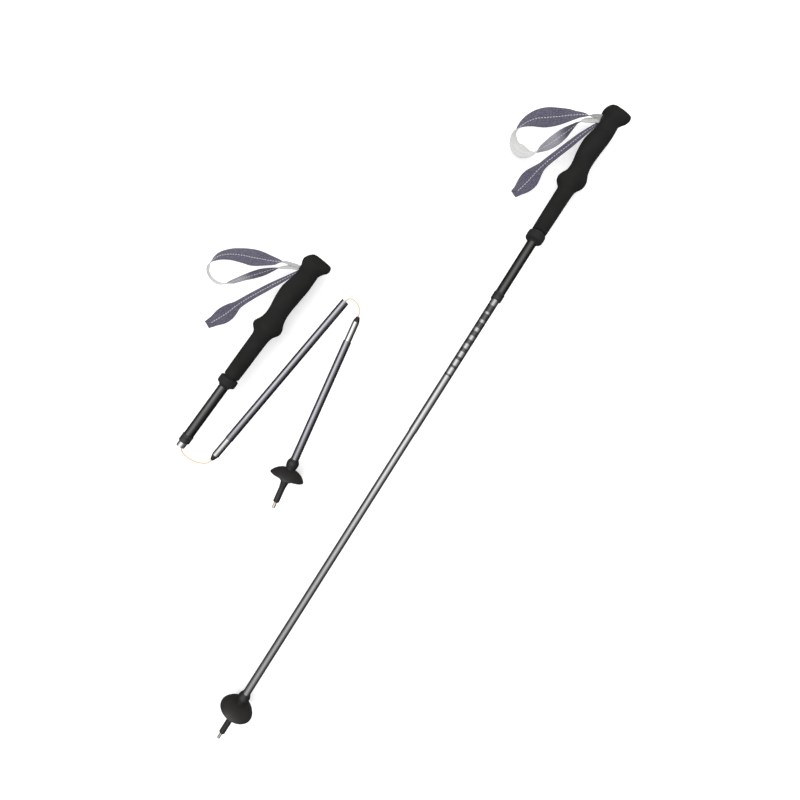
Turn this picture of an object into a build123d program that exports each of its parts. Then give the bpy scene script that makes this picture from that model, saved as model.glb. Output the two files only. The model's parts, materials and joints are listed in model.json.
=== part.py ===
from build123d import *
from math import atan2, cos, degrees, pi, radians, sin, tan
import os

os.makedirs("parts", exist_ok=True)

# A pair of folding trekking poles lying on a floor. The open pole is at its full length. The
# folded pole has its telescoping tube pushed in and its two lower sections pulled out and laid
# back beside the handle, held only by the elastic cord. Millimetres, +Z up, floor at Z = 0.

# Layout: every pole axis lies at one height, so that the basket rims touch the floor.
AXIS_Z = 28.0
OPEN_HEAD = (344.0, 503.5)
OPEN_HEADING = 237.64
FOLDED_MOUTH = (-359.4, -41.6)
FOLDED_HEADING = 233.9
FOLDED_MIDDLE_START = (-281.3, -30.5)
FOLDED_MIDDLE_HEADING = 49.8
FOLDED_LOWER_START = (-90.8, 127.0)
FOLDED_LOWER_HEADING = 245.95

# Handle section, measured from the top of the head
GRIP_LENGTH = 238.5
GRIP_BORE_START = 38.0
UPPER_TUBE_END = 357.0
UPPER_TUBE_R = 8.0
UPPER_TUBE_BORE = 7.2
COLLAR_START = 238.7
LOCK_START = 354.5
LOCK_END = 368.0
SLOT_S = 30.5
SLOT_SIDE = 14.9
SLOT_DEPTH = 12.0
SLOT_LENGTH = 10.0
SLOT_WIDTH = 17.0
WEDGE_OUT = 12.0
PIN_R = 1.5
PIN_LENGTH = 24.0
PIN_SIDE = 7.5
FIT = 0.1

# Telescoping tube
TELE_LENGTH = 330.0
ANCHOR_START = TELE_LENGTH - 70.0
TELE_TRAVEL = 240.0
TELE_FOLDED_END = 377.0
TELE_R = 7.0
TELE_BORE = 6.05
SLIDE_GAP = 0.05

# Middle and lower sections, measured from the upper end of each one's tube
TUBE_R = 6.5
TUBE_BORE = 5.55
MIDDLE_LENGTH = 290.0
LOWER_TUBE_LENGTH = 212.0
FERRULE_OUT = 34.0
FERRULE_IN = 25.0
FERRULE_BORE = 4.7
CONE_LENGTH = 9.0
CONE_BORE = 1.9
PLUG_LENGTH = FERRULE_OUT + CONE_LENGTH
JOINT_GAP = 0.15

# Basket and tip, measured from the upper end of the lower tube
HUB_START = 208.0
HUB_END = 225.0
BASKET_R = AXIS_Z
BASKET_HEIGHT = 13.6
BASKET_WALL = 2.0
BASKET_BOSS = 21.0
SHAFT_TIP_R = 5.0
STEM_R = 5.95
SHAFT_STEM_START = 194.0
SHAFT_CYLINDER_START = 258.0
SHAFT_END = 283.0
TIP_SOCKET = 268.0
TIP_END = 293.0
TIP_R = 2.25

# Elastic cord
CORD_D = 2.5
CORD_SETBACK = 3.5
CORD_GAP = 0.7
TIP_SETBACK = 1.0
END_STOP_START = 150.0

# Wrist strap, drawn flat, from its slot in the head outward
STRAP_THICKNESS = 4.0
STRAP_DROOP = 5.8
TAIL_LEAN = 30.2
TAIL_DROP = 5.2
OPEN_STRAP_HEADING = 191.4
FOLDED_STRAP_HEADING = 180.6


class Section:
    """A straight length of pole. s runs along it toward the tip; side points to the strap."""

    def __init__(self, start, heading):
        self.heading = heading
        self.along = Vector(cos(radians(heading)), sin(radians(heading)), 0)
        self.side = Vector(self.along.Y, -self.along.X, 0)
        self.start = Vector(start[0], start[1], AXIS_Z)
        self.axis = Axis(tuple(self.start), tuple(self.along))
        self.plan = Plane(origin=self.start, x_dir=self.side, z_dir=(0, 0, 1))

    def point(self, s, side=0.0):
        return self.start + self.along * s + self.side * side

    def across(self, s, side=0.0):
        return Plane(origin=self.point(s, side), x_dir=self.side, z_dir=self.along)

    def moved(self, s):
        start = self.point(s)
        return Section((start.X, start.Y), self.heading)


def save(piece, label):
    piece.label = label
    export_step(piece, f"parts/{label}.step")


def tube(label, section, start, end, outer, bore):
    with BuildPart() as piece:
        with BuildSketch(section.across(start)):
            Circle(outer)
            Circle(bore, mode=Mode.SUBTRACT)
        extrude(amount=end - start)
    save(piece.part, label)


def rod(label, section, start, end, radius):
    with BuildPart() as piece:
        with BuildSketch(section.across(start)):
            Circle(radius)
        extrude(amount=end - start)
    save(piece.part, label)


def turned(label, section, outline):
    """A turned piece. The outline is closed and given as (s, radius) corners."""
    with BuildPart() as piece:
        with BuildSketch(section.plan):
            with BuildLine():
                Polyline(*[(radius, s) for s, radius in outline], close=True)
            make_face()
        revolve(axis=section.axis)
    save(piece.part, label)


RIDGE_END = 156.0
# Grip stations: s, half width toward the strap, half width away from it, half depth
GRIP_STATIONS = (
    (0.0, 14.5, 23.5, 5.0),
    (3.0, 17.3, 26.6, 9.0),
    (9.0, 18.2, 27.5, 14.2),
    (16.0, 17.6, 26.0, 17.6),
    (25.0, 15.0, 21.0, 17.0),
    (36.0, 13.6, 18.3, 15.3),
    (50.0, 14.6, 17.4, 15.6),
    (80.0, 18.4, 16.6, 17.4),
    (106.0, 16.6, 16.8, 16.4),
    (122.0, 17.2, 20.6, 17.0),
    (135.0, 21.2, 23.2, 18.4),
    (145.0, 22.6, 19.0, 18.0),
    (RIDGE_END, 14.2, 15.2, 14.6),
    (168.0, 13.1, 14.2, 13.9),
    (200.0, 12.9, 13.7, 13.4),
    (231.5, 12.6, 13.2, 13.0),
    (GRIP_LENGTH, 12.2, 12.4, 12.3),
)


def grip(label, handle):
    """Foam grip: an uneven oval section all the way down, bored for the tube and pocketed for the strap."""
    palm = [station for station in GRIP_STATIONS if station[0] <= RIDGE_END]
    extension = [station for station in GRIP_STATIONS if station[0] >= RIDGE_END]
    with BuildPart() as piece:
        for stations, straight in ((palm, False), (extension, True)):
            for s, strap_half, away_half, depth_half in stations:
                with BuildSketch(handle.across(s, (strap_half - away_half) / 2)):
                    Ellipse((strap_half + away_half) / 2, depth_half)
            loft(ruled=straight)
        with BuildSketch(handle.across(GRIP_BORE_START)):
            Circle(UPPER_TUBE_R)
        extrude(amount=GRIP_LENGTH, mode=Mode.SUBTRACT)
        with BuildSketch(handle.across(SLOT_S - SLOT_LENGTH / 2, SLOT_SIDE - SLOT_DEPTH / 2 + 3)):
            Rectangle(SLOT_DEPTH + 6, SLOT_WIDTH)
        extrude(amount=SLOT_LENGTH, mode=Mode.SUBTRACT)
        with BuildSketch(pin_plane(handle)):
            Circle(PIN_R)
        extrude(amount=PIN_LENGTH / 2, both=True, mode=Mode.SUBTRACT)
    save(piece.part, label)


def pin_plane(handle):
    return Plane(origin=handle.point(SLOT_S, PIN_SIDE), x_dir=handle.side, z_dir=(0, 0, 1))


def strap_wedge(label, handle):
    """Plastic block in the head's pocket, cut back where the webbing goes in over it."""
    inner = SLOT_SIDE - SLOT_DEPTH + FIT
    with BuildPart() as piece:
        with BuildSketch(handle.across(SLOT_S - SLOT_LENGTH / 2 + FIT, (inner + WEDGE_OUT) / 2)):
            Rectangle(WEDGE_OUT - inner, SLOT_WIDTH - 2 * FIT)
        extrude(amount=SLOT_LENGTH - 2 * FIT)
        with BuildSketch(pin_plane(handle)):
            Circle(PIN_R)
        extrude(amount=PIN_LENGTH, both=True, mode=Mode.SUBTRACT)
    save(piece.part, label)


def strap_pin(label, handle):
    with BuildPart() as piece:
        with BuildSketch(pin_plane(handle)):
            Circle(PIN_R)
        extrude(amount=PIN_LENGTH / 2, both=True)
    save(piece.part, label)


def strap_plane(handle, heading):
    """The webbing lies flat and droops a little from its slot toward the floor."""
    flat = Vector(cos(radians(heading)), sin(radians(heading)), 0)
    fall = radians(STRAP_DROOP)
    outward = flat * cos(fall) - Vector(0, 0, sin(fall))
    normal = flat * sin(fall) + Vector(0, 0, cos(fall))
    return Plane(origin=handle.point(SLOT_S, SLOT_SIDE + 1.2), x_dir=outward, z_dir=normal)


def strap_loop(label, plane):
    """Closed loop of webbing, from the slot round the far end and back, with the hand's opening."""
    with BuildPart() as piece:
        with BuildSketch(plane):
            with BuildLine():
                Spline((1, -2), (40, -22), (75, -31.5), (115, -26), (143, -5), (146, 18), (128, 37),
                       (100, 33), (69, 25), (35, 11), (1, 2))
                Line((1, 2), (1, -2))
            make_face()
            with BuildLine():
                Spline((46, 0), (75, -4), (108, -2), (126, 7), (127, 19), (116, 24), (95, 18),
                       (70, 9), periodic=True)
            make_face(mode=Mode.SUBTRACT)
        extrude(amount=STRAP_THICKNESS / 2, both=True)
    save(piece.part, label)


def strap_tail(label, plane):
    """Free end of the webbing: narrow at the head, leaf shaped near its cut end."""
    low = Plane(origin=plane.origin - plane.z_dir * TAIL_DROP, x_dir=plane.x_dir, z_dir=plane.z_dir)
    with BuildPart() as piece:
        with BuildSketch(low.rotated((0, 0, TAIL_LEAN))):
            with BuildLine():
                Polyline((7, -4.5), (7, 4.5), (60, 6.5), (118, 7.5), (150, 14), (186, 6), (186, -6),
                         (150, -14), (118, -7.5), (60, -6.5), close=True)
            make_face()
        extrude(amount=STRAP_THICKNESS / 2, both=True)
    save(piece.part, label)


def collar(label, handle):
    """Ring that closes the grip: a narrow neck, then a wide band that is chamfered to the tube."""
    bore = UPPER_TUBE_R
    turned(label, handle.moved(COLLAR_START), [
        (0, bore), (0, 10.4), (2.4, 10.4), (2.4, 13.4), (3.5, 14.6), (8.4, 14.9), (13.8, 14.6),
        (15.4, 13.6), (17.4, 10.4), (18.2, 9.3), (19.6, 8.9), (19.6, bore)])


def lock(names, handle):
    """Twist lock: the nut turns round the end of the upper tube and a collet inside it."""
    nut, collet = names
    lip = LOCK_END - 3
    turned(nut, handle, [
        (LOCK_START, UPPER_TUBE_R + SLIDE_GAP), (LOCK_START, 8.6), (LOCK_START + 0.5, 9.0),
        (358.6, 9.0), (359.0, 8.7), (359.8, 8.7), (360.2, 9.0), (LOCK_END - 1.0, 9.0),
        (LOCK_END, 8.2), (LOCK_END, TELE_R + FIT), (lip, TELE_R + FIT),
        (lip, UPPER_TUBE_R + SLIDE_GAP)])
    tube(collet, handle, UPPER_TUBE_END + 0.2, lip - 0.5, UPPER_TUBE_R - SLIDE_GAP, TELE_R + SLIDE_GAP)


def guide_bush(label, tele):
    """Plug in the upper end of the telescoping tube. Its flange runs in the upper tube."""
    turned(label, tele, [
        (-3, 0), (-3, UPPER_TUBE_BORE - SLIDE_GAP), (0, UPPER_TUBE_BORE - SLIDE_GAP), (0, TELE_BORE),
        (12, TELE_BORE), (12, 0)])


def ferrule(label, section, outside):
    """Metal sleeve glued in a tube's upper end and standing out of it."""
    turned(label, section, [
        (-FERRULE_OUT, FERRULE_BORE), (-FERRULE_OUT, outside - 0.4), (-FERRULE_OUT + 0.6, outside),
        (0, outside), (0, TUBE_BORE), (FERRULE_IN, TUBE_BORE), (FERRULE_IN, FERRULE_BORE)])


def guide_cone(label, section):
    """Plastic nose on the ferrule. It leads the ferrule into the next tube and holds the cord central."""
    turned(label, section, [
        (-PLUG_LENGTH, CONE_BORE), (-PLUG_LENGTH, 2.5), (-PLUG_LENGTH + 0.8, 3.1),
        (-FERRULE_OUT - 1.6, 5.2), (-FERRULE_OUT, 5.2), (-FERRULE_OUT, FERRULE_BORE),
        (-FERRULE_OUT + 8, FERRULE_BORE), (-FERRULE_OUT + 8, CONE_BORE)])


def tip_hub(label, lower):
    """Collar pushed over the end of the lower tube: it widens, narrows a little and ends in a groove."""
    turned(label, lower, [
        (HUB_START, TUBE_R), (HUB_START, 7.0), (HUB_START + 0.8, 7.4), (HUB_START + 4.8, 9.5),
        (HUB_START + 7.0, 9.9), (HUB_START + 9.0, 9.8), (HUB_END - 3.4, 8.9), (HUB_END - 2.6, 8.7),
        (HUB_END - 2.2, 7.8), (HUB_END, 7.8), (HUB_END, STEM_R), (LOWER_TUBE_LENGTH, STEM_R),
        (LOWER_TUBE_LENGTH, TUBE_R)])


def basket(label, lower):
    """Umbrella disc: a boss round the shaft and a thin dome that falls away toward the tip."""
    top = HUB_END + 0.1
    rim = top + BASKET_HEIGHT
    with BuildPart() as piece:
        with BuildSketch(lower.plan):
            with BuildLine():
                outer = ThreePointArc((9.0, top), (20.5, top + 4.6), (BASKET_R, rim - 0.6))
                edge = Line(outer @ 1, (BASKET_R, rim))
                lip = Line(edge @ 1, (BASKET_R - 1.4, rim))
                inner = ThreePointArc(lip @ 1, (19.6, top + 4.6 + BASKET_WALL), (9.6, top + 2.6))
                boss = Line(inner @ 1, (9.6, top + BASKET_BOSS - 0.8))
                chamfered = Line(boss @ 1, (8.8, top + BASKET_BOSS))
                end = Line(chamfered @ 1, (6.0, top + BASKET_BOSS))
                bore = Line(end @ 1, (6.0, top))
                Line(bore @ 1, outer @ 0)
            make_face()
        revolve(axis=lower.axis)
    save(piece.part, label)


def tip_shaft(label, lower):
    """Tapered plastic shaft: a stem in the tube, a shoulder under the basket, a socket at its end."""
    shoulder = HUB_END + BASKET_BOSS + 0.4
    turned(label, lower, [
        (SHAFT_STEM_START, 0), (SHAFT_STEM_START, TUBE_BORE), (LOWER_TUBE_LENGTH, TUBE_BORE),
        (LOWER_TUBE_LENGTH, STEM_R), (HUB_END + 0.05, STEM_R), (HUB_END + 0.05, 5.9), (shoulder, 5.9),
        (shoulder, 6.2), (shoulder + 0.6, 6.5), (SHAFT_CYLINDER_START, SHAFT_TIP_R),
        (SHAFT_END - 1.5, SHAFT_TIP_R), (SHAFT_END, 3.6), (SHAFT_END, TIP_R), (TIP_SOCKET, TIP_R),
        (TIP_SOCKET, 0)])


def carbide_tip(label, lower):
    """Hard metal point with a flared, hollowed crown."""
    turned(label, lower, [
        (TIP_SOCKET, 0), (TIP_SOCKET, TIP_R), (SHAFT_END + 1.0, TIP_R), (SHAFT_END + 1.6, 2.5),
        (TIP_END - 0.6, 2.5), (TIP_END, 2.1), (TIP_END, 1.4), (TIP_END - 0.8, 0)])


def handle_pieces(pole, handle, strap_heading):
    grip(f"{pole}_grip", handle)
    strap_wedge(f"{pole}_strap_wedge", handle)
    strap_pin(f"{pole}_strap_pin", handle)
    plane = strap_plane(handle, strap_heading)
    strap_loop(f"{pole}_strap_loop", plane)
    strap_tail(f"{pole}_strap_tail", plane)
    collar(f"{pole}_collar", handle)
    tube(f"{pole}_upper_tube", handle, GRIP_BORE_START, UPPER_TUBE_END, UPPER_TUBE_R, UPPER_TUBE_BORE)
    lock((f"{pole}_lock_nut", f"{pole}_lock_collet"), handle)


def telescoping_pieces(pole, tele):
    tube(f"{pole}_tele_tube", tele, 0, TELE_LENGTH, TELE_R, TELE_BORE)
    guide_bush(f"{pole}_guide_bush", tele)
    tube(f"{pole}_cord_anchor", tele, ANCHOR_START, ANCHOR_START + 14, TELE_BORE, CORD_D / 2)


def middle_pieces(pole, middle):
    tube(f"{pole}_middle_tube", middle, 0, MIDDLE_LENGTH, TUBE_R, TUBE_BORE)
    ferrule(f"{pole}_middle_ferrule", middle, TELE_BORE - SLIDE_GAP)
    guide_cone(f"{pole}_middle_cone", middle)


def lower_pieces(pole, lower):
    tube(f"{pole}_lower_tube", lower, 0, LOWER_TUBE_LENGTH, TUBE_R, TUBE_BORE)
    ferrule(f"{pole}_lower_ferrule", lower, TUBE_BORE - SLIDE_GAP)
    guide_cone(f"{pole}_lower_cone", lower)
    tip_hub(f"{pole}_tip_hub", lower)
    basket(f"{pole}_basket", lower)
    tip_shaft(f"{pole}_tip_shaft", lower)
    carbide_tip(f"{pole}_carbide_tip", lower)


# The open pole: each section stands at the end of the one above it.
open_handle = Section(OPEN_HEAD, OPEN_HEADING)
open_mouth = TELE_FOLDED_END + TELE_TRAVEL
open_tele = open_handle.moved(open_mouth - TELE_LENGTH)
open_middle = open_handle.moved(open_mouth + JOINT_GAP)
open_lower = open_middle.moved(MIDDLE_LENGTH + JOINT_GAP)

handle_pieces("open", open_handle, OPEN_STRAP_HEADING)
telescoping_pieces("open", open_tele)
middle_pieces("open", open_middle)
lower_pieces("open", open_lower)
cord_end = TELE_LENGTH + MIDDLE_LENGTH + 2 * JOINT_GAP + END_STOP_START
rod("open_cord", open_tele, ANCHOR_START, cord_end, CORD_D / 2)
rod("open_cord_end_stop", open_lower, END_STOP_START + JOINT_GAP, END_STOP_START + 12, TUBE_BORE)

# The folded pole: its handle ends at the mouth of the telescoping tube.
folded_mouth = Section(FOLDED_MOUTH, FOLDED_HEADING)
folded_handle = folded_mouth.moved(-TELE_FOLDED_END)
folded_tele = folded_mouth.moved(-TELE_LENGTH)
folded_middle = Section(FOLDED_MIDDLE_START, FOLDED_MIDDLE_HEADING)
folded_lower = Section(FOLDED_LOWER_START, FOLDED_LOWER_HEADING)

handle_pieces("folded", folded_handle, FOLDED_STRAP_HEADING)
telescoping_pieces("folded", folded_tele)
middle_pieces("folded", folded_middle)
lower_pieces("folded", folded_lower)


def fold(name, parent, parent_mouth, child):
    """Pivots of one fold. The cord arc swings about the open mouth until it points along the
    parent; the child section turns half a turn about a level axis through the cone's point."""
    mouth = parent.point(parent_mouth)
    cone = child.point(-PLUG_LENGTH - TIP_SETBACK)
    chord = cone - mouth
    chord_heading = degrees(atan2(chord.Y, chord.X))
    swing = (parent.heading - chord_heading + 180) % 360 - 180
    between = chord.normalized() + child.along
    flip_axis = between.normalized()
    if flip_axis.cross(child.along).Z < 0:
        flip_axis = flip_axis * -1
    plug = chord.length + PLUG_LENGTH + TIP_SETBACK - JOINT_GAP
    print(name, "mouth", mouth, "cone", cone, "swing", round(swing, 3), "flip axis", flip_axis,
          "plug travel", round(plug, 2))
    return {"mouth": mouth, "cone": cone, "swing": swing, "flip_axis": flip_axis, "plug": plug}


upper_fold = fold("upper fold", folded_mouth, 0, folded_middle)
lower_fold = fold("lower fold", folded_middle, MIDDLE_LENGTH, folded_lower)


def cord_arc(label, route):
    """Bare stretch of elastic cord between two sections: straight runs joined by tangent arcs."""
    runs = [(b - a).length for a, b in zip(route, route[1:])]
    bends = []
    for i in range(1, len(route) - 1):
        turn = radians((route[i] - route[i - 1]).get_angle(route[i + 1] - route[i]))
        bends.append(0.45 * min(runs[i - 1], runs[i]) / tan(turn / 2))
    with BuildPart() as piece:
        with BuildLine() as path:
            FilletPolyline(*route, radius=bends)
        with BuildSketch(Plane(origin=path.line @ 0, z_dir=path.line % 0)):
            Circle(CORD_D / 2)
        sweep()
    expected = pi * (CORD_D / 2) ** 2 * path.wire().length
    print(label, "length", round(path.wire().length, 1), "radii", [round(r, 1) for r in bends],
          "volume", round(piece.part.volume, 1), "section x length", round(expected, 1))
    save(piece.part, label)


def at(start, *offsets):
    """Points given as steps (x, y) and a fall in height from a start point."""
    return [Vector(start.X + x, start.Y + y, AXIS_Z - fall) for x, y, fall in offsets]


cord_arc("folded_cord_arc_upper", [
    folded_mouth.point(-CORD_SETBACK),
    *at(upper_fold["mouth"], (-0.4, -5.6, 0.5), (7.0, -17.0, 3.0), (20.5, -26.0, 5.5),
        (36.0, -28.8, 4.5), (45.6, -26.6, 1.5)),
    upper_fold["cone"]])
cord_arc("folded_cord_arc_lower", [
    folded_middle.point(MIDDLE_LENGTH - CORD_SETBACK),
    *at(lower_fold["mouth"], (3.2, 5.0, 0.4), (12.6, 4.6, 2.0), (20.6, -4.2, 3.2),
        (23.8, -14.4, 1.4)),
    lower_fold["cone"]])
rod("folded_cord_upper", folded_tele, ANCHOR_START, TELE_LENGTH - CORD_SETBACK - CORD_GAP, CORD_D / 2)
inner_start = CORD_GAP - PLUG_LENGTH - TIP_SETBACK
rod("folded_cord_middle", folded_middle, inner_start, 150, CORD_D / 2)
rod("folded_cord_lower", folded_lower, inner_start, 60, CORD_D / 2)
rod("folded_cord_end_stop", folded_lower, 60, 68, 4.0)
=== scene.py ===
"""A pair of folding trekking poles, seen from above: one at full length, one folded in a Z."""
from collections import namedtuple
import json
import math
import bpy
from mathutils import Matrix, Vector


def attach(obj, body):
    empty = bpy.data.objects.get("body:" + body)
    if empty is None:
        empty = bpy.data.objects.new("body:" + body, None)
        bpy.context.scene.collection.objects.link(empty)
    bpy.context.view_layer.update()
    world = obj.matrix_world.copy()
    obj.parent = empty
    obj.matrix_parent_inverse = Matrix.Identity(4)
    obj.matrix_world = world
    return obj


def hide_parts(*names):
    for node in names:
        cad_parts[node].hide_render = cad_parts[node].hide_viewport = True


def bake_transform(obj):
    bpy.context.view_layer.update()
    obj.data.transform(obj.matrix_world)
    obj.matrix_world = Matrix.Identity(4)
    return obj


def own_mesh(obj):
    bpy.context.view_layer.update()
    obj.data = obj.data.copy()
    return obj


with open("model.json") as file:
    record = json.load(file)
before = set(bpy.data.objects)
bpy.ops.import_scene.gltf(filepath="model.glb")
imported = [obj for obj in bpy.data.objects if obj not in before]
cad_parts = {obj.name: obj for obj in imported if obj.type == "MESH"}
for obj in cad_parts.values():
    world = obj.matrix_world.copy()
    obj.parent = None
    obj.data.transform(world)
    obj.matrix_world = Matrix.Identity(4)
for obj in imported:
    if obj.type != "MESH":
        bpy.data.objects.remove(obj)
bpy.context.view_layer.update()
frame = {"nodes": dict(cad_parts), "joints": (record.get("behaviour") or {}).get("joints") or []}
JOINTS = {j["name"]: j for j in frame["joints"]}
MM = 0.001
UP = Vector((0, 0, 1))


class Pole:
    """The line of one handle: s runs from the top of the head toward the tip, in millimetres."""

    def __init__(self, name):
        lock = JOINTS[f"{name}_lock_turn"]
        self.name = name
        self.along = Vector(lock["axis"]).normalized()
        self.side = Vector((self.along.y, -self.along.x, 0))
        self.head = Vector(lock["pos_m"]) - self.along * LOCK_START * MM
        self.slot = Vector(JOINTS[f"{name}_strap_swing"]["pos_m"])

    def point(self, s, side=0.0, up=0.0):
        return self.head + (self.along * s + self.side * side + UP * up) * MM


LOCK_START = 354.5
GRIP_END = 238.5
open_pole = Pole("open")
folded_pole = Pole("folded")
AXIS_Z = open_pole.head.z


# ---------------------------------------------------------------- camera, lights and floor

CAMERA_XY = (-0.0062, 0.0327)
CAMERA_RISE = 0.74
VIEW_SPAN = 1.2869
EYE = Vector((*CAMERA_XY, AXIS_Z + CAMERA_RISE))


def make_camera():
    data = bpy.data.cameras.new("camera")
    data.sensor_width = 36.0
    data.lens = data.sensor_width * CAMERA_RISE / VIEW_SPAN
    data.clip_start = 0.01
    camera = bpy.data.objects.new("camera", data)
    camera.location = EYE
    bpy.context.collection.objects.link(camera)
    bpy.context.scene.camera = camera


SOFTBOX_TOWARD = (-0.12, 0.08, 1.0)
SOFTBOX_FADE = ((0.0, 0.012), (0.1, 0.05), (0.45, 0.12), (0.72, 0.29), (0.86, 0.5), (0.95, 0.74),
                (0.99, 1.0))
SOFTBOX_STRENGTH = 2.6
ROOM_STRENGTH = 1.2
KEY_PLACE = (-0.75, 0.45, 1.3)
KEY_TARGET = (-0.05, 0.0, 0.0)
KEY_SIZE = (0.9, 0.9)
KEY_WATTS = 3.5
FLOOR_HALF = 4.0
FLOOR_SHADES = ((0.925, 0.925, 0.925), (0.935, 0.935, 0.935))
LIGHT_TABLE = 0.3


def area_light(name, place, target, size, watts):
    data = bpy.data.lights.new(name, "AREA")
    data.shape = "RECTANGLE"
    data.size, data.size_y = size
    data.energy = watts
    light = bpy.data.objects.new(name, data)
    light.location = place
    light.rotation_mode = "QUATERNION"
    light.rotation_quaternion = (Vector(target) - Vector(place)).to_track_quat("-Z", "Y")
    bpy.context.collection.objects.link(light)


def make_studio():
    """An even white room. What glossy surfaces reflect is one overhead softbox that fades to the walls."""
    area_light("key", KEY_PLACE, KEY_TARGET, KEY_SIZE, KEY_WATTS)
    world = bpy.data.worlds.new("studio")
    world.use_nodes = True
    tree = world.node_tree
    even = tree.nodes["Background"]
    even.inputs["Color"].default_value = (1, 1, 1, 1)
    even.inputs["Strength"].default_value = ROOM_STRENGTH
    reflected = tree.nodes.new("ShaderNodeBackground")
    height = tree.nodes.new("ShaderNodeVectorMath")
    height.operation = "DOT_PRODUCT"
    height.inputs[1].default_value = Vector(SOFTBOX_TOWARD).normalized()
    ramp = tree.nodes.new("ShaderNodeValToRGB")
    elements = ramp.color_ramp.elements
    for _ in range(len(SOFTBOX_FADE) - 2):
        elements.new(0.5)
    for element, (position, level) in zip(elements, SOFTBOX_FADE):
        element.position = position
        element.color = (level, level, level, 1.0)
    reflected.inputs["Strength"].default_value = SOFTBOX_STRENGTH
    by_ray = tree.nodes.new("ShaderNodeMixShader")
    links = tree.links
    links.new(tree.nodes.new("ShaderNodeTexCoord").outputs["Generated"], height.inputs[0])
    links.new(height.outputs["Value"], ramp.inputs[0])
    links.new(ramp.outputs[0], reflected.inputs["Color"])
    links.new(tree.nodes.new("ShaderNodeLightPath").outputs["Is Glossy Ray"], by_ray.inputs[0])
    links.new(even.outputs[0], by_ray.inputs[1])
    links.new(reflected.outputs[0], by_ray.inputs[2])
    links.new(by_ray.outputs[0], tree.nodes["World Output"].inputs["Surface"])
    bpy.context.scene.world = world
    bpy.context.scene.view_settings.view_transform = "Standard"


def make_floor():
    """A white table that glows faintly, so the shadows on it stay as light as in the photo."""
    corners = [(FLOOR_HALF * x, FLOOR_HALF * y, 0) for x, y in ((-1, -1), (1, -1), (1, 1), (-1, 1))]
    mesh = bpy.data.meshes.new("floor")
    mesh.from_pydata(corners, [], [(0, 1, 2, 3)])
    floor = bpy.data.objects.new("floor", mesh)
    bpy.context.collection.objects.link(floor)
    look = Look("floor", (0.93, 0.93, 0.93), 0.9)
    grain = look.noise(look.coords(), 30.0, 3.0)
    look.set("Base Color", look.ramp(grain, (0.3, FLOOR_SHADES[0]), (0.7, FLOOR_SHADES[1])))
    look.set("Emission Color", (1.0, 1.0, 1.0))
    look.set("Emission Strength", LIGHT_TABLE)
    mesh.materials.append(look.material)
    floor.visible_glossy = False


# ---------------------------------------------------------------- materials

class Look:
    """A node material under construction. Values given to it are numbers, colours or sockets."""

    def __init__(self, name, color, roughness, metallic=0.0, **sockets):
        self.material = bpy.data.materials.new(name)
        self.material.use_nodes = True
        self.tree = self.material.node_tree
        self.shader = self.tree.nodes["Principled BSDF"]
        self.set("Base Color", color)
        self.set("Roughness", roughness)
        self.set("Metallic", metallic)
        for socket, value in sockets.items():
            self.set(socket.replace("_", " "), value)

    def fill(self, socket, value):
        if isinstance(value, bpy.types.NodeSocket):
            self.tree.links.new(value, socket)
        elif socket.type == "RGBA":
            socket.default_value = (*value, 1.0)
        else:
            socket.default_value = value

    def set(self, name, value):
        self.fill(self.shader.inputs[name], value)

    def node(self, kind, *inputs, **settings):
        made = self.tree.nodes.new(kind)
        for key, value in settings.items():
            setattr(made, key, value)
        for index, value in enumerate(inputs):
            if value is not None:
                self.fill(made.inputs[index], value)
        return made

    def coords(self):
        return self.node("ShaderNodeTexCoord").outputs["Object"]

    def uv(self):
        return self.node("ShaderNodeUVMap", uv_map="strap").outputs["UV"]

    def math(self, operation, a, b=None):
        return self.node("ShaderNodeMath", a, b, operation=operation).outputs[0]

    def noise(self, vector, scale, detail):
        made = self.node("ShaderNodeTexNoise", vector)
        made.inputs["Scale"].default_value = scale
        made.inputs["Detail"].default_value = detail
        return made.outputs[0]

    def stretched(self, vector, pole_along, amount):
        """Coordinates squeezed along the pole, so that a noise in them runs lengthwise."""
        turned = self.node("ShaderNodeVectorRotate", vector, rotation_type="Z_AXIS")
        turned.inputs["Angle"].default_value = -math.atan2(pole_along.y, pole_along.x)
        squeeze = (1.0 / amount, 1.0, 1.0)
        return self.node("ShaderNodeVectorMath", turned.outputs[0], squeeze, operation="MULTIPLY").outputs[0]

    def ramp(self, factor, *stops):
        made = self.node("ShaderNodeValToRGB", factor)
        elements = made.color_ramp.elements
        while len(elements) < len(stops):
            elements.new(0.5)
        for element, (position, color) in zip(elements, stops):
            element.position = position
            element.color = (*color, 1.0)
        return made.outputs[0]

    def mix(self, factor, a, b):
        made = self.tree.nodes.new("ShaderNodeMix")
        made.data_type = "RGBA"
        self.fill(made.inputs[0], factor)
        self.fill(made.inputs[6], a)
        self.fill(made.inputs[7], b)
        return made.outputs[2]

    def blend_values(self, factor, a, b):
        made = self.node("ShaderNodeMix", factor)
        self.fill(made.inputs[2], a)
        self.fill(made.inputs[3], b)
        return made.outputs[0]

    def bump(self, height, strength, distance):
        made = self.tree.nodes.new("ShaderNodeBump")
        made.inputs["Strength"].default_value = strength
        made.inputs["Distance"].default_value = distance
        self.fill(made.inputs["Height"], height)
        self.set("Normal", made.outputs[0])

    def edge_wear(self, low, high):
        """1 on sharp outer edges and 0 on flats, from the curvature of the mesh."""
        pointed = self.node("ShaderNodeNewGeometry").outputs["Pointiness"]
        return self.node("ShaderNodeMapRange", pointed, low, high, 0.0, 1.0).outputs[0]


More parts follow.
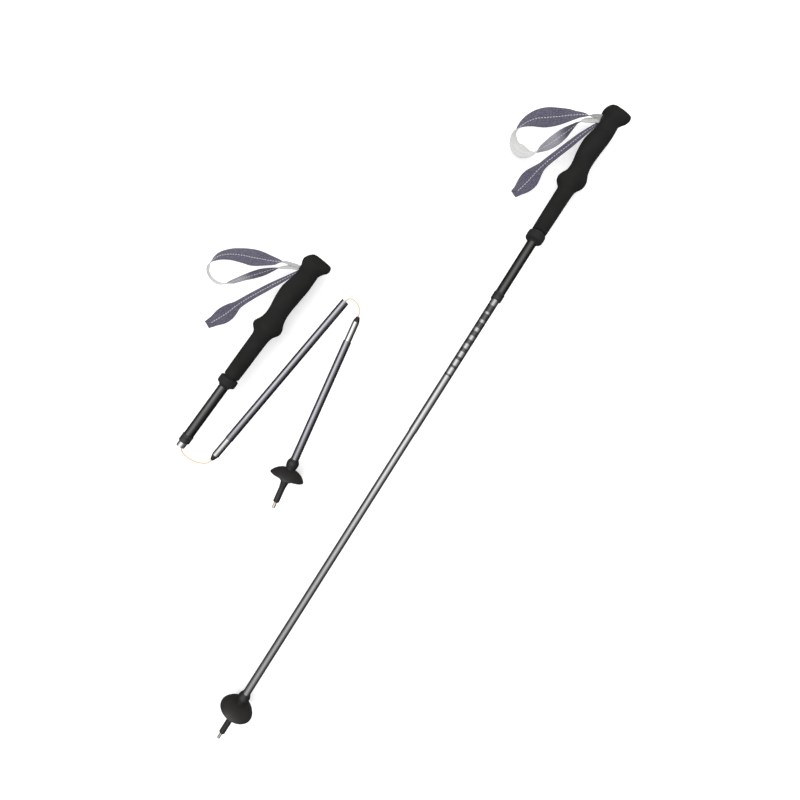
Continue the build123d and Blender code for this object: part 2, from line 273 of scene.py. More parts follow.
def foam_look():
    """Closed-cell foam: a faint grey that wanders, and small pits."""
    look = Look("foam", FOAM_SHADES[1], 0.82, Specular_IOR_Level=0.25)
    where = look.coords()
    cells = look.node("ShaderNodeTexVoronoi", where)
    cells.inputs["Scale"].default_value = FOAM_CELLS
    broad = look.noise(where, FOAM_CLOUDS, 3.0)
    fine = look.noise(where, FOAM_GRAIN, 2.0)
    look.set("Base Color", look.ramp(broad, (0.3, FOAM_SHADES[0]), (0.7, FOAM_SHADES[1])))
    look.set("Roughness", look.blend_values(fine, 0.72, 0.9))
    look.bump(look.math("ADD", cells.outputs["Distance"], look.math("MULTIPLY", fine, 0.6)), 0.35, 0.00035)
    return look.material


def moulded_look(name, dark, light, roughness):
    """Moulded plastic with a fine grain, paler on its worn edges."""
    look = Look(name, dark, roughness)
    where = look.coords()
    grain = look.noise(where, MOULD_GRAIN, 2.0)
    cloud = look.noise(where, MOULD_CLOUDS, 2.0)
    body = look.mix(cloud, dark, light)
    look.set("Base Color", look.mix(look.edge_wear(0.52, 0.6), body, [2.2 * c for c in light]))
    look.set("Roughness", look.blend_values(grain, roughness - 0.08, roughness + 0.1))
    look.bump(grain, 0.25, 0.0002)
    return look.material


def tube_look(name, pole, color, tint, roughness, coat=(0.4, 1.9, 0.1), marks_from=None, bare_from=None):
    """Anodised tube with fine lengthwise brushing, and printed length marks or a bare end if asked.

    coat is (weight, IOR, roughness), and marks_from and bare_from are places along the pole.
    """
    look = Look(name, color, roughness, 1.0, Coat_Weight=coat[0], Coat_IOR=coat[1], Coat_Roughness=coat[2])
    where = look.coords()
    brushed = look.noise(look.stretched(where, pole.along, BRUSH_STRETCH), BRUSH_LINES, 2.0)
    cloud = look.noise(look.stretched(where, pole.along, TINT_STRETCH), TINT_CLOUDS, 2.0)
    paint = look.mix(cloud, color, tint)
    rough = look.blend_values(brushed, roughness - 0.06, roughness + 0.06)
    metal = 1.0
    if marks_from is not None or bare_from is not None:
        offset = look.node("ShaderNodeVectorMath", where, tuple(pole.head), operation="SUBTRACT").outputs[0]
        dot = look.node("ShaderNodeVectorMath", offset, tuple(pole.along), operation="DOT_PRODUCT")
        s = look.math("MULTIPLY", dot.outputs["Value"], 1 / MM)
    if marks_from is not None:
        turn = look.math("DIVIDE", look.math("SUBTRACT", s, marks_from), MARK_PITCH)
        number = look.math("FLOOR", turn)
        here = look.math("MULTIPLY", look.math("FRACT", turn), MARK_PITCH)
        length = look.math("SUBTRACT", MARK_LONGEST, look.math("MULTIPLY", number, MARK_STEP))
        inside = look.math("LESS_THAN", here, length)
        first = look.math("GREATER_THAN", number, -0.5)
        last = look.math("LESS_THAN", number, MARK_COUNT - 0.5)
        mark = look.math("MULTIPLY", look.math("MULTIPLY", inside, first), last)
        paint = look.mix(mark, paint, MARK_INK)
        rough = look.blend_values(mark, rough, MARK_ROUGHNESS)
        metal = look.math("SUBTRACT", 1.0, mark)
    if bare_from is not None:
        bare = look.math("GREATER_THAN", s, bare_from)
        paint = look.mix(bare, paint, BARE_METAL)
        rough = look.blend_values(bare, rough, BARE_ROUGHNESS)
    look.set("Base Color", paint)
    look.set("Roughness", rough)
    look.set("Metallic", metal)
    look.bump(brushed, 0.08, 0.00008)
    return look.material


def bright_metal_look(name, color, roughness):
    """Bare turned metal, a little smudged."""
    look = Look(name, color, roughness, 1.0)
    where = look.coords()
    turned = look.noise(where, TURNING_GRAIN, 1.0)
    smudge = look.noise(where, SMUDGES, 3.0)
    look.set("Roughness", look.blend_values(smudge, roughness * 0.8, roughness * 1.4))
    look.set("Base Color", look.mix(smudge, color, [0.88 * c for c in color]))
    look.bump(turned, 0.02, 0.00003)
    return look.material


def webbing_look(name, dark, light, contrast=0.42, painted_sheen_span=None):
    """Woven tape, over a map that runs along it and across it in metres. The last argument, if given, is
    (from, to, colour) of a stretch along the tape painted paler: a painted sheen of the dyed face seen at a
    grazing angle.
    """
    look = Look(name, light, WEBBING_ROUGHNESS)
    uv = look.uv()
    ribs = look.node("ShaderNodeTexWave", uv, bands_direction="X")
    ribs.inputs["Scale"].default_value = WEAVE_RIBS
    ends = look.node("ShaderNodeTexWave", uv, bands_direction="Y")
    ends.inputs["Scale"].default_value = WEAVE_ENDS
    weave = look.math("MULTIPLY", ribs.outputs["Fac"], ends.outputs["Fac"])
    fuzz = look.noise(uv, WEAVE_FUZZ, 3.0)
    fade = look.noise(uv, DYE_CLOUDS, 3.0)
    yarn = look.noise(uv, YARNS, 2.0)
    mottled = look.node("ShaderNodeMapRange", yarn, 0.38, 0.62, 0.0, 1.0).outputs[0]
    shade = look.math("MULTIPLY", look.math("ADD", look.math("ADD", weave, fade), mottled), contrast)
    color = look.mix(shade, dark, light)
    # Painted sheen: between from and to along the tape the colour is mixed toward a pale tone, standing in
    # for the shine of the dyed face at a grazing angle
    if painted_sheen_span:
        start, end, tone = painted_sheen_span
        along = look.node("ShaderNodeSeparateXYZ", uv).outputs[0]
        rise = look.node("ShaderNodeMapRange", along, start - PAINTED_SHEEN_FADE, start, 0.0, 1.0).outputs[0]
        fall = look.node("ShaderNodeMapRange", along, end, end + PAINTED_SHEEN_FADE, 1.0, 0.0).outputs[0]
        painted_sheen_colour = look.mix(shade, [0.55 * c for c in tone], tone)
        color = look.mix(look.math("MULTIPLY", rise, fall), color, painted_sheen_colour)
    look.set("Base Color", color)
    look.set("Sheen Weight", 0.25)
    look.set("Sheen Roughness", 0.4)
    look.bump(look.math("ADD", weave, look.math("MULTIPLY", fuzz, 0.5)), 0.6, 0.0003)
    return look.material


def cord_look():
    """Braided cord: two families of threads that cross each other round it."""
    look = Look("cord", (0.82, 0.68, 0.42), 0.75)
    uv = look.uv()
    braid = look.node("ShaderNodeTexWave", uv, bands_direction="DIAGONAL")
    braid.inputs["Scale"].default_value = BRAID_SCALE
    other = look.node("ShaderNodeVectorMath", uv, (1.0, -1.0, 1.0), operation="MULTIPLY").outputs[0]
    cross = look.node("ShaderNodeTexWave", other, bands_direction="DIAGONAL")
    cross.inputs["Scale"].default_value = BRAID_SCALE
    weave = look.math("MAXIMUM", braid.outputs["Fac"], cross.outputs["Fac"])
    look.set("Base Color", look.mix(weave, (0.55, 0.4, 0.25), (0.8, 0.64, 0.46)))
    look.bump(weave, 0.6, 0.0003)
    return look.material


# The printed marks and the bare end of a telescoping tube, in millimetres along the pole
MARK_PITCH = 16.2
MARK_LONGEST = 12.5
MARK_STEP = 1.19
MARK_COUNT = 9
MARK_START = 379.0
MARK_INK = (0.012, 0.012, 0.012)
MARK_ROUGHNESS = 0.42
BARE_START = 368.0
BARE_METAL = (0.5, 0.5, 0.5)
BARE_ROUGHNESS = 0.24

# Texture scales: the larger, the finer. The strap's and the cord's lie in their own maps
FOAM_CELLS = 1400.0
FOAM_CLOUDS = 45.0
FOAM_GRAIN = 900.0
MOULD_GRAIN = 1100.0
MOULD_CLOUDS = 60.0
BRUSH_LINES, BRUSH_STRETCH = 2600.0, 60.0
TINT_CLOUDS, TINT_STRETCH = 40.0, 4.0
TURNING_GRAIN = 2400.0
SMUDGES = 70.0
WEAVE_RIBS = 130.0
WEAVE_ENDS = 110.0
WEAVE_FUZZ = 900.0
DYE_CLOUDS = 35.0
YARNS = 420.0
BRAID_SCALE = 0.26

WEBBING_ROUGHNESS = 0.85
# How far the painted sheen on the loop's tape fades in and out, in metres along the tape
PAINTED_SHEEN_FADE = 0.02
FOAM_SHADES = ((0.007, 0.0067, 0.0062), (0.0115, 0.011, 0.0102))
DYED = ((0.018, 0.016, 0.034), (0.15, 0.145, 0.2))
BLACK = ((0.006, 0.006, 0.006), (0.011, 0.011, 0.0105))


# ---------------------------------------------------------------- mesh helpers

def smooth_value(knots, x):
    """A smooth curve through (x, value) knots that never overshoots them."""
    if x <= knots[0][0]:
        return knots[0][1]
    for i in range(len(knots) - 1):
        (x0, y0), (x1, y1) = knots[i], knots[i + 1]
        if x <= x1:
            break
    else:
        return knots[-1][1]
    step = x1 - x0
    slope = (y1 - y0) / step

    def tangent(k):
        if k == 0 or k == len(knots) - 1:
            return slope
        before = (knots[k][1] - knots[k - 1][1]) / (knots[k][0] - knots[k - 1][0])
        after = (knots[k + 1][1] - knots[k][1]) / (knots[k + 1][0] - knots[k][0])
        if before * after <= 0:
            return 0.0
        return 2 * before * after / (before + after)

    t = (x - x0) / step
    a, b = tangent(i) * step, tangent(i + 1) * step
    return (y0 * (1 + 2 * t) * (1 - t) ** 2 + y1 * t * t * (3 - 2 * t)
            + a * t * (1 - t) ** 2 - b * t * t * (1 - t))


def make_object(name, vertices, faces, materials, smooth=True):
    mesh = bpy.data.meshes.new(name)
    mesh.from_pydata([tuple(v) for v in vertices], [], faces)
    for material in materials:
        mesh.materials.append(material)
    mesh.polygons.foreach_set("use_smooth", [smooth] * len(mesh.polygons))
    mesh.update()
    made = bpy.data.objects.new(name, mesh)
    bpy.context.collection.objects.link(made)
    return made


def ring_faces(rings, around):
    """Quads between rings of vertices, closed by fans to the two centre vertices that come last."""
    faces = []
    for r in range(rings - 1):
        for k in range(around):
            n = (k + 1) % around
            faces.append((r * around + k, (r + 1) * around + k, (r + 1) * around + n, r * around + n))
    top, bottom = rings * around, rings * around + 1
    last = (rings - 1) * around
    for k in range(around):
        n = (k + 1) % around
        faces.append((top, k, n))
        faces.append((bottom, last + n, last + k))
    return faces


# ---------------------------------------------------------------- cords at the folds

CORD_D = 2.5 * MM
ARC_UPPER = ((-0.4, -5.6, -0.5), (7.0, -17.0, -3.0), (20.5, -26.0, -5.5), (36.0, -28.8, -4.5),
             (45.6, -26.6, -1.5))
ARC_LOWER = ((3.2, 5.0, -0.4), (12.6, 4.6, -2.0), (20.6, -4.2, -3.2), (23.8, -14.4, -1.4))
CORD_SETBACK = 3.5
AROUND_CORD = 14


def nurbs_points(name, control):
    """Points along the smooth spline that has the route's points as its control points."""
    curve = bpy.data.curves.new(name, "CURVE")
    curve.dimensions = "3D"
    spline = curve.splines.new("NURBS")
    spline.points.add(len(control) - 1)
    for point, place in zip(spline.points, control):
        point.co = (*place, 1.0)
    spline.order_u = 3
    spline.use_endpoint_u = True
    spline.resolution_u = 12
    holder = bpy.data.objects.new(name, curve)
    mesh = bpy.data.meshes.new_from_object(holder)
    points = [v.co.copy() for v in mesh.vertices]
    bpy.data.objects.remove(holder)
    bpy.data.meshes.remove(mesh)
    return points


def tube_along(name, points, radius, material):
    """A closed tube that follows points, with a map round and along it in millimetres."""
    vertices = []
    side = None
    last = len(points) - 1
    for i, point in enumerate(points):
        ahead = (points[min(i + 1, last)] - points[max(i - 1, 0)]).normalized()
        side = (ahead.orthogonal() if side is None else side - ahead * side.dot(ahead)).normalized()
        other = ahead.cross(side)
        for k in range(AROUND_CORD):
            angle = 2 * math.pi * k / AROUND_CORD
            vertices.append(point + (side * math.cos(angle) + other * math.sin(angle)) * radius)
    vertices += [points[0], points[-1]]
    made = make_object(name, vertices, ring_faces(len(points), AROUND_CORD), [material])
    lengths = [0.0]
    for a, b in zip(points, points[1:]):
        lengths.append(lengths[-1] + (b - a).length / MM)
    arc = 2 * math.pi * radius / MM / AROUND_CORD
    layer = made.data.uv_layers.new(name="strap")
    for polygon in made.data.polygons:
        corners = [(i, *divmod(made.data.loops[i].vertex_index, AROUND_CORD)) for i in polygon.loop_indices]
        wraps = any(spoke > AROUND_CORD / 2 for _, _, spoke in corners)
        for i, ring, spoke in corners:
            if spoke == 0 and wraps:
                spoke = AROUND_CORD
            layer.data[i].uv = (spoke * arc, lengths[min(ring, last)])
    return made


def cord_arc(which, steps, parent_along, material):
    """One bare stretch of the elastic cord, from inside a tube's mouth to the next section's cone."""
    swing = JOINTS[f"folded_{which}_swing"]
    fold = JOINTS[f"folded_{which}_fold"]
    mouth, cone = Vector(swing["pos_m"]), Vector(fold["pos_m"])
    start = mouth - parent_along * CORD_SETBACK * MM
    control = [start] + [mouth + Vector(step) * MM for step in steps] + [cone]
    points = nurbs_points(f"cord_arc_{which}", control)
    made = tube_along(f"fold_cord_{which}", points, CORD_D / 2, material)
    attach(made, f"folded_link_{which}")
    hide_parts(f"folded_cord_arc_{which}")
    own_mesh(made)


# ---------------------------------------------------------------- grip

# Half widths from the axis against s: toward the strap, away from it, and in depth
STRAP_SIDE = ((0, 3.0), (0.8, 7.0), (3.5, 10.6), (10, 14.8), (17, 17.0), (22, 15.8), (29, 13.0),
              (37, 12.5), (48, 13.4), (60, 16.6), (73, 19.0), (85, 18.6), (97, 17.4), (110, 15.3),
              (119, 14.6), (127, 15.4), (133, 17.3), (139, 20.6), (143.5, 22.3), (147.5, 21.7),
              (151.5, 18.8), (156, 14.4), (161, 12.7), (200, 12.6), (234, 12.3), (237.5, 12.0),
              (238.5, 11.4))
AWAY_SIDE = ((0, 3.0), (0.5, 14.0), (1.6, 24.5), (4, 27.6), (9, 28.6), (13, 27.4), (19, 22.6),
             (28, 18.3), (38, 18.6), (48, 19.0), (58, 18.6), (70, 17.5), (84, 16.4), (95, 15.7),
             (104, 15.6), (112, 16.2), (121, 18.2), (127, 20.8), (132, 22.8), (137, 23.2),
             (141.5, 22.0), (146, 19.2), (151, 16.4), (158, 14.8), (170, 14.2), (200, 13.7),
             (234, 13.0), (237.5, 12.6), (238.5, 12.0))
DEPTH = ((0, 1.6), (0.5, 3.0), (2, 5.2), (5, 9.2), (9, 13.2), (14, 16.6), (18, 17.4), (24, 16.9),
         (31, 16.2), (39, 15.4), (48, 15.2), (62, 16.4), (80, 17.2), (95, 16.4), (108, 15.8),
         (120, 16.2), (130, 17.8), (138, 18.8), (144, 18.2), (151, 15.6), (158, 13.9),
         (200, 13.4), (234, 12.9), (237.5, 12.5), (238.5, 11.8))
SQUARENESS = 0.93
CROWN = 0.3
END_DISH = 0.5
# How far apart the rings are, up to each place: closest where the outline turns fastest
RING_STEPS = ((4, 0.4), (40, 1.0), (118, 2.2), (164, 1.0), (228, 2.2), (GRIP_END, 1.0))
AROUND_GRIP = 72


def grip_stations():
    marks = []
    s = 0.0
    while s < GRIP_END:
        marks.append(s)
        s += next(step for end, step in RING_STEPS if s < end)
    return marks + [GRIP_END]


def make_grip(pole, foam):
    """The foam handle, with the strap's slot and the upper tube's bore cut out of it."""
    stations = grip_stations()
    vertices = []
    for s in stations:
        strap, away, depth = (smooth_value(knots, s) for knots in (STRAP_SIDE, AWAY_SIDE, DEPTH))
        for k in range(AROUND_GRIP):
            angle = 2 * math.pi * k / AROUND_GRIP
            c, v = (math.copysign(abs(x) ** SQUARENESS, x) for x in (math.cos(angle), math.sin(angle)))
            vertices.append(pole.point(s, c * (strap if c > 0 else away), v * depth))
    vertices += [pole.point(-CROWN), pole.point(GRIP_END - END_DISH)]
    grip = make_object(f"{pole.name}_foam_grip", vertices, ring_faces(len(stations), AROUND_GRIP), [foam])
    cut_away(grip, slot_block(pole))
    cut_away(grip, bore_rod(pole))
    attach(grip, f"{pole.name}_handle")
    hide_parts(f"{pole.name}_grip")


SLOT_S = 30.5
SLOT_HALF = (4.6, 8.2)
SLOT_SIDES = (3.4, 24.0)
BORE_START = 38.0
BORE_R = 8.0
AROUND_BORE = 48


def slot_block(pole):
    """The room of the pocket where the webbing enters the head."""
    corners = [pole.point(SLOT_S + s, side, up) for s in (-SLOT_HALF[0], SLOT_HALF[0])
               for side in SLOT_SIDES for up in (-SLOT_HALF[1], SLOT_HALF[1])]
    faces = [(0, 1, 3, 2), (4, 6, 7, 5), (0, 4, 5, 1), (2, 3, 7, 6), (0, 2, 6, 4), (1, 5, 7, 3)]
    return make_object("slot_block", corners, faces, [], smooth=False)


def bore_rod(pole):
    """The room of the bore that the upper tube fills."""
    ends = (BORE_START, GRIP_END + 5)
    corners = []
    for s in ends:
        for k in range(AROUND_BORE):
            angle = 2 * math.pi * k / AROUND_BORE
            corners.append(pole.point(s, BORE_R * math.cos(angle), BORE_R * math.sin(angle)))
    corners += [pole.point(s) for s in ends]
    return make_object("bore_rod", corners, ring_faces(len(ends), AROUND_BORE), [])


def cut_away(solid, cutter):
    cut = solid.modifiers.new("cut", "BOOLEAN")
    cut.operation = "DIFFERENCE"
    cut.object = cutter
    cut.solver = "EXACT"
    bpy.context.view_layer.update()
    left = bpy.data.meshes.new_from_object(solid.evaluated_get(bpy.context.evaluated_depsgraph_get()))
    solid.modifiers.clear()
    solid.data = left
    bpy.data.objects.remove(cutter)


# ---------------------------------------------------------------- wrist straps

# Stations of the webbing, from the slot: x and y where it is seen in the plane of the pole's axis,
# how far it lies below that plane along the line of sight, its width, and its roll in degrees.
# Roll 0 turns the dyed face to the viewer, 90 stands on edge and 180 shows the white back.
OPEN_LOOP = (
    (2.5, 1.5, 0, 10, 146), (-4, 3.6, 0, 10, 130), (-11, 4.6, 0, 10, 112), (-17.5, 5, 0.4, 9, 84),
    (-24.4, 5.8, 0.8, 9, 52), (-32.6, 6, 1.4, 11, 38), (-40.7, 5.5, 2.2, 15, 32),
    (-51.6, 4.8, 3.4, 21, 26), (-68, 2.9, 5.4, 26.5, 18), (-84.3, 1.8, 7.6, 29.5, 16),
    (-98, 0.6, 9.4, 27.5, 20), (-108.8, -2.1, 10.8, 25, 32), (-118.6, -6.8, 11.8, 23, 48),
    (-127, -12.8, 12.6, 19, 66), (-132.4, -18.6, 13, 17, 88), (-136.4, -27, 13.4, 17, 122),
    (-137.6, -36, 13.8, 18, 136), (-135, -45.4, 14, 19.5, 148), (-127.6, -52.2, 14.2, 20, 160),
    (-115.4, -56, 14.2, 17, 134), (-104.6, -54.2, 14, 15, 100), (-96, -49.2, 13.4, 15, 56),
    (-83.7, -42.6, 12.4, 18, 30), (-70.6, -34.2, 10.8, 20, 24), (-57, -24.2, 8.8, 18, 28),
    (-44.8, -14.6, 6.6, 13, 50), (-34.6, -7.4, 4.8, 12, 82), (-25, -3.6, 3.4, 11.5, 118),
    (-12, -2.9, 2.2, 11, 128), (-4, -3.6, 1.6, 10.5, 124), (2.5, -5, 1, 10, 120))
OPEN_TAIL = (
    (2.5, -5.6, 2.6, 8, 66), (-4.5, -9.2, 3.4, 8.5, 58), (-13.5, -15.2, 4.4, 9, 46),
    (-29.8, -27, 6.2, 11, 32), (-46.2, -40, 8.2, 12, 20), (-65.2, -54.6, 10.4, 12, 16),
    (-81.5, -67.2, 12.4, 12.4, 12), (-92.5, -76.6, 13.6, 13.6, 8), (-100.5, -84.4, 14.4, 20, 6),
    (-108.4, -93, 15.2, 28, 5), (-116, -101.6, 16, 30, 5), (-124.4, -109.8, 16.8, 25, 5),
    (-131.5, -116, 17.4, 17.5, 5), (-139, -121.8, 18, 13, 5))
FOLDED_LOOP = (
    (2.5, -3, 0, 10, 140), (-8.7, 2, 0, 11, 122), (-19.4, 5.6, 0.6, 11.5, 114),
    (-27.5, 7.4, 1, 12, 92), (-33.8, 8.2, 1.4, 14, 62), (-40.7, 8.7, 2, 17, 45),
    (-51, 10.4, 3, 21, 34), (-62, 12.6, 4.4, 26, 28), (-75.4, 14.9, 6, 28.5, 22),
    (-88.7, 17.7, 7.8, 27, 26), (-107.4, 20.2, 10, 24, 38), (-123.4, 19, 11.6, 21, 50),
    (-134, 15.2, 12.6, 19, 64), (-141.6, 9.4, 13.2, 17, 84), (-146.6, 1, 13.8, 16, 104),
    (-147.2, -8.4, 14, 16.5, 105), (-141.6, -18.4, 14.2, 17, 105), (-131.4, -25.8, 14.2, 17, 106),
    (-119.8, -27.6, 14, 17, 92), (-110.4, -25.2, 13.6, 17, 70), (-102, -22.2, 13, 17, 64),
    (-88.7, -17.6, 11.8, 17, 56), (-75.4, -13.6, 10.4, 17, 47), (-62, -9.4, 8.6, 16.5, 44),
    (-48.7, -5.4, 6.6, 14, 56), (-38, -2.5, 5, 12, 78), (-28.5, -0.9, 3.8, 11.5, 108),
    (-19.4, -0.6, 3, 11.5, 116), (-8.7, -2, 1.8, 11, 116), (2.5, -5, 1, 10, 118))
FOLDED_TAIL = (
    (2.5, -6.4, 2.6, 8, 62), (-4, -9, 3.4, 8.5, 58), (-10, -12, 4, 9, 54),
    (-24.7, -19.6, 5.6, 10, 46), (-36.5, -25.6, 6.8, 10.5, 36), (-48.7, -31.8, 8, 11, 30),
    (-75.4, -46.2, 11.2, 11.5, 22), (-92, -56, 13.2, 12, 12), (-101, -62, 14, 14, 8),
    (-109, -68, 14.8, 20.5, 6), (-117.6, -74.6, 15.6, 25, 6), (-126.6, -80.6, 16.4, 24.5, 5),
    (-138, -87.2, 17.2, 17.5, 5), (-149.6, -93.4, 18, 13, 5))
TAPE_THICKNESS = 1.1
TAPE_DISH = 0.02
SAMPLES_PER_STATION = 10
ACROSS = 8


def between(a, b, c, d, t):
    """The value t of the way from b to c on the Catmull-Rom curve through a, b, c and d."""
    return 0.5 * (2 * b + (c - a) * t + (2 * a - 5 * b + 4 * c - d) * t * t
                  + (3 * b - a - 3 * c + d) * t ** 3)


def catmull(stations, count):
    """Samples a smooth curve through the stations, each a tuple of numbers."""
    samples = []
    last = len(stations) - 1
    for i in range(last):
        p0, p1, p2, p3 = (stations[min(max(i + k, 0), last)] for k in (-1, 0, 1, 2))
        steps = count + (1 if i == last - 1 else 0)
        for k in range(steps):
            samples.append([between(*values, k / count) for values in zip(p0, p1, p2, p3)])
    return samples


Section = namedtuple("Section", "centre across face width length")


def webbing_sections(pole, stations):
    """The webbing's centre, direction across, normal, width and length so far, all along its route."""
    samples = catmull(stations, SAMPLES_PER_STATION)
    centres = []
    for x, y, below, _, _ in samples:
        seen = pole.slot + Vector((x, y, 0)) * MM
        centres.append(seen + (seen - EYE) * (below * MM / CAMERA_RISE))
    sections = []
    length = 0.0
    for i, (_, _, _, width, degrees) in enumerate(samples):
        ahead = (centres[min(i + 1, len(centres) - 1)] - centres[max(i - 1, 0)]).normalized()
        level = (EYE - centres[i]).cross(ahead).normalized()
        upright = ahead.cross(level)
        roll = math.radians(degrees)
        across = level * math.cos(roll) + upright * math.sin(roll)
        if i:
            length += (centres[i] - centres[i - 1]).length
        sections.append(Section(centres[i], across, ahead.cross(across), width * MM, length))
    return sections


def section_at(sections, distance):
    """The section at a distance along the webbing, in metres, blended from its neighbours."""
    for before, after in zip(sections, sections[1:]):
        if after.length >= distance:
            share = (distance - before.length) / max(after.length - before.length, 1e-9)
            return Section(*(b + (a - b) * share for b, a in zip(before, after)))
    return sections[-1]


def make_ribbon(name, sections, face_material, back_material):
    """Webbing as a thin closed strip: dyed face, white back, rounded edges and a slight dish across."""
    vertices, faces, slots, uvs = [], [], [], []
    row = 2 * (ACROSS + 1)
    for section in sections:
        for side in (1, -1):
            for k in range(ACROSS + 1):
                share = 2 * k / ACROSS - 1
                thick = TAPE_THICKNESS * MM / 2 * (1 - 0.55 * abs(share) ** 6)
                dish = TAPE_DISH * section.width * (share * share - 1)
                vertices.append(section.centre + section.across * share * section.width / 2
                                + section.face * (side * thick + dish))
                uvs.append((section.length, share * section.width / 2))

    def add(quad, slot):
        faces.append(quad)
        slots.append(slot)

    for i in range(len(sections) - 1):
        a, b = i * row, (i + 1) * row
        for k in range(ACROSS):
            add((a + k, b + k, b + k + 1, a + k + 1), 0)
            low = ACROSS + 1 + k
            add((a + low, a + low + 1, b + low + 1, b + low), 1)
        add((a, a + ACROSS + 1, b + ACROSS + 1, b), 0)
        add((a + ACROSS, b + ACROSS, b + row - 1, a + row - 1), 0)
    for start, forward in ((0, True), ((len(sections) - 1) * row, False)):
        for k in range(ACROSS):
            low = start + ACROSS + 1 + k
            quad = (start + k, start + k + 1, low + 1, low)
            add(quad if forward else quad[::-1], 0)
    made = make_object(name, vertices, faces, [face_material, back_material])
    for polygon, slot in zip(made.data.polygons, slots):
        polygon.material_index = slot
    layer = made.data.uv_layers.new(name="strap")
    for loop, uv in zip(made.data.loops, layer.data):
        uv.uv = uvs[loop.vertex_index]
    return made


STITCH_PITCH = 4.6
STITCH_LENGTH = 3.4
STITCH_WIDTH = 0.75
STITCH_RISE = 0.28
STITCH_MARGIN = 4.0
STITCH_RINGS = 5
AROUND_STITCH = 8


def make_stitches(name, sections, thread):
    """A row of lockstitches down the middle of the webbing, on both of its sides."""
    vertices, faces = [], []
    total = sections[-1].length / MM
    for n in range(int((total - 2 * STITCH_MARGIN) / STITCH_PITCH)):
        middle = STITCH_MARGIN + (n + 0.5) * STITCH_PITCH
        for side in (1, -1):
            base = len(vertices)
            for r in range(STITCH_RINGS):
                share = 2 * r / (STITCH_RINGS - 1) - 1
                here = section_at(sections, (middle + share * STITCH_LENGTH / 2) * MM)
                bulge = math.sqrt(max(1 - share ** 4, 0.05))
                lift = TAPE_THICKNESS / 2 * MM - side * TAPE_DISH * here.width
                for k in range(AROUND_STITCH):
                    angle = 2 * math.pi * k / AROUND_STITCH
                    offset = here.across * math.cos(angle) * STITCH_WIDTH / 2 * bulge * MM
                    rise = here.face * side * (lift + math.sin(angle) * STITCH_RISE * bulge * MM)
                    vertices.append(here.centre + offset + rise)
            surface = section_at(sections, middle * MM).face * side * TAPE_THICKNESS / 2 * MM
            for reach in (-STITCH_LENGTH / 2, STITCH_LENGTH / 2):
                vertices.append(section_at(sections, (middle + reach) * MM).centre + surface)
            for quad in ring_faces(STITCH_RINGS, AROUND_STITCH):
                shifted = tuple(base + v for v in quad)
                faces.append(shifted if side > 0 else shifted[::-1])
    return make_object(name, vertices, faces, [thread])


def make_strap(pole, part, stations, looks):
    """One run of webbing and its stitching, built along its stations in place of the CAD strap."""
    sections = webbing_sections(pole, stations)
    ribbon = make_ribbon(f"{pole.name}_webbing_{part}", sections, looks[f"webbing_{part}"],
                         looks["webbing_back"])
    stitches = make_stitches(f"{pole.name}_stitching_{part}", sections, looks["thread"])
    for piece in (ribbon, stitches):
        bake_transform(piece)
    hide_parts(f"{pole.name}_strap_{part}")


# ---------------------------------------------------------------- assembly

def paint(node, material):
    """A carried-over CAD node keeps its shape and takes a material of its own."""
    mesh = frame["nodes"][node].data
    mesh.materials.clear()
    mesh.materials.append(material)


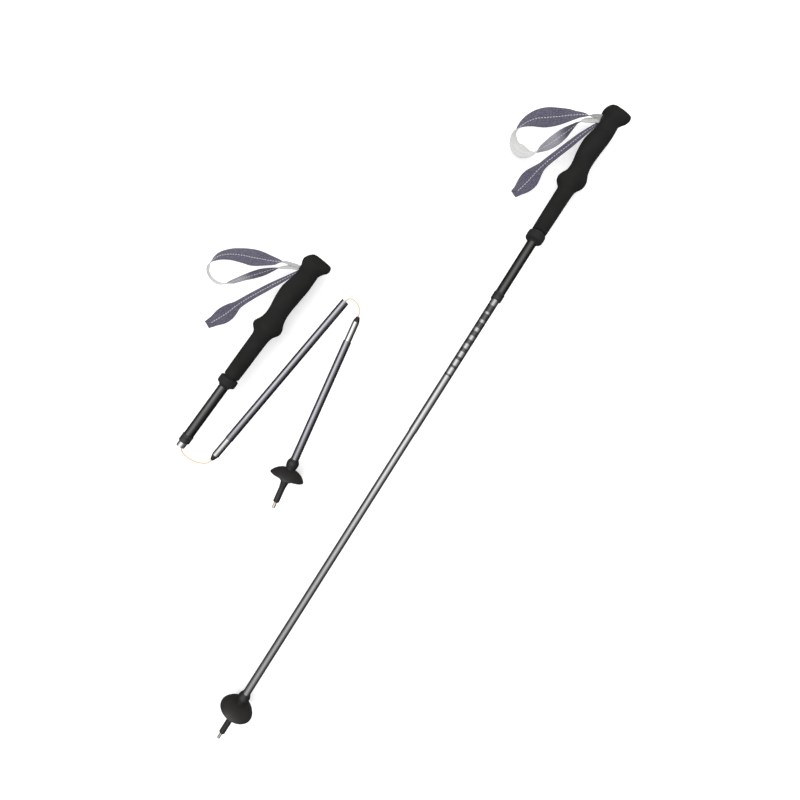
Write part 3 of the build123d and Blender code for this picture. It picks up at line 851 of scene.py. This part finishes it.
def main():
    make_camera()
    make_studio()
    make_floor()
    looks = {
        "foam": foam_look(),
        "black": moulded_look("black_plastic", *BLACK, 0.5),
        "basket": moulded_look("basket_plastic", (0.017, 0.0155, 0.0145), (0.025, 0.0225, 0.021), 0.42),
        "matt": moulded_look("matt_plastic", (0.005, 0.005, 0.005), (0.0085, 0.0085, 0.0082), 0.8),
        "webbing_tail": webbing_look("webbing_tail", *DYED),
        # The loop's tape carries a painted sheen: from 0.2 m to 0.24 m along it, it is painted pale
        # grey-lavender
        "webbing_loop": webbing_look("webbing_loop", *DYED, painted_sheen_span=(0.2, 0.24, (0.4, 0.39, 0.44))),
        "webbing_back": webbing_look("webbing_back", (0.46, 0.46, 0.455), (0.66, 0.66, 0.655)),
        "thread": webbing_look("thread", (0.7, 0.7, 0.7), (0.9, 0.9, 0.9)),
        "ferrule": bright_metal_look("ferrule_metal", (0.47, 0.47, 0.46), 0.16),
        "carbide": bright_metal_look("carbide", (0.7, 0.6, 0.5), 0.25),
        "steel": bright_metal_look("steel", (0.6, 0.6, 0.6), 0.3),
        "cord": cord_look(),
    }
    middle_along = -Vector(JOINTS["folded_upper_plug"]["axis"])
    cord_arc("upper", ARC_UPPER, folded_pole.along, looks["cord"])
    cord_arc("lower", ARC_LOWER, middle_along, looks["cord"])
    for pole in (open_pole, folded_pole):
        make_grip(pole, looks["foam"])
    make_strap(open_pole, "loop", OPEN_LOOP, looks)
    make_strap(open_pole, "tail", OPEN_TAIL, looks)
    make_strap(folded_pole, "loop", FOLDED_LOOP, looks)
    make_strap(folded_pole, "tail", FOLDED_TAIL, looks)

    dark = ((0.04, 0.039, 0.036), (0.054, 0.0525, 0.049), 0.34)
    grey = ((0.28, 0.28, 0.285), (0.33, 0.33, 0.335), 0.3)
    violet = ((0.1, 0.097, 0.117), (0.13, 0.127, 0.15), 0.26, (0.75, 2.3, 0.05))
    open_grey = tube_look("open_tube", open_pole, *grey)
    tubes = {
        "open_upper_tube": tube_look("open_upper_paint", open_pole, *dark),
        "open_tele_tube": tube_look("open_tele_paint", open_pole, *grey, marks_from=MARK_START),
        "open_middle_tube": open_grey,
        "open_lower_tube": open_grey,
        "folded_upper_tube": tube_look("folded_upper_paint", folded_pole, *dark),
        "folded_tele_tube": tube_look("folded_tele_paint", folded_pole, *violet, bare_from=BARE_START),
        "folded_middle_tube": tube_look("folded_middle_paint", folded_pole, *violet),
        "folded_lower_tube": tube_look("folded_lower_paint", folded_pole, *violet),
    }
    for node, material in tubes.items():
        paint(node, material)
    plain = {
        "matt": ("collar",),
        "black": ("lock_nut", "lock_collet", "guide_bush", "cord_anchor", "middle_cone", "lower_cone",
                  "tip_hub", "tip_shaft", "strap_wedge", "strap_pin"),
        "basket": ("basket",),
        "ferrule": ("middle_ferrule", "lower_ferrule"),
        "carbide": ("carbide_tip",),
        "steel": ("cord_end_stop",),
    }
    for pole in ("open", "folded"):
        for look, nodes in plain.items():
            for node in nodes:
                paint(f"{pole}_{node}", looks[look])
    for node in ("open_cord", "folded_cord_upper", "folded_cord_middle", "folded_cord_lower"):
        paint(node, looks["cord"])


main()
